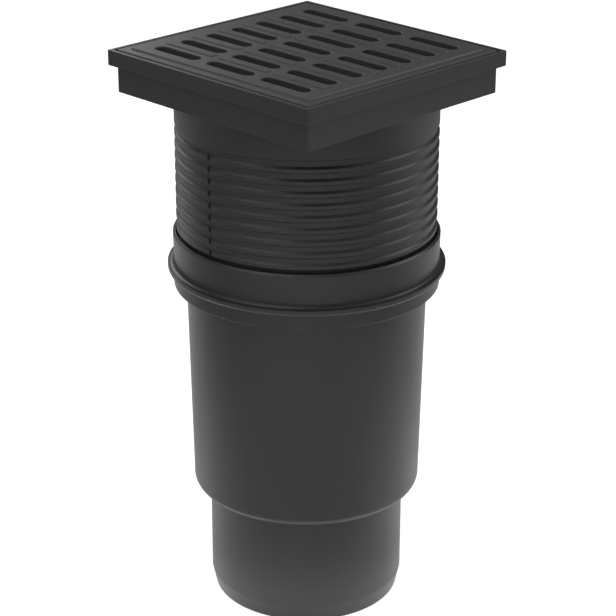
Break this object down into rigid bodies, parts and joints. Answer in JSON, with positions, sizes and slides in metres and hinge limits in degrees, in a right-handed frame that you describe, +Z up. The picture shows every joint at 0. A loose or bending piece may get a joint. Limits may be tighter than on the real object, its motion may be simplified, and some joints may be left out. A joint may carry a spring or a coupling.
{
  "type": "gully trap",
  "caption": "Square slotted yard gully: a lift-out grate in a frame with a round ribbed neck, turning in the socket of a tapered pot with a spigot outlet below.",
  "frame": {"origin": "centre of the outlet spigot's lower end", "axes": "+Z up along the gully's axis, +X along the grate's slots"},
  "size_m": [0.1532, 0.1532, 0.3197],
  "materials": {
    "grate_plastic": "fine moulded grain, dark neutral grey",
    "frame_plastic": "satin moulded, dark neutral grey",
    "body_plastic": "satin moulded, dark neutral grey",
    "trap_plastic": "satin moulded, dark neutral grey",
    "seal_rubber": "smooth black rubber"
  },
  "bodies": {
    "pot_body": {"body": "body_plastic", "trap_funnel": "trap_plastic", "trap_seal": "seal_rubber", "trap_cup": "trap_plastic"},
    "neck_body": {"frame_neck": "frame_plastic", "grate": "grate_plastic", "neck_seal": "seal_rubber"}
  },
  "joints": [
    {"name": "neck_turn", "type": "hinge", "parent": "pot_body", "child": "neck_body", "pos_m": [0, 0, 0.205], "axis": [0, 0, 1], "continuous": true}
  ]
}
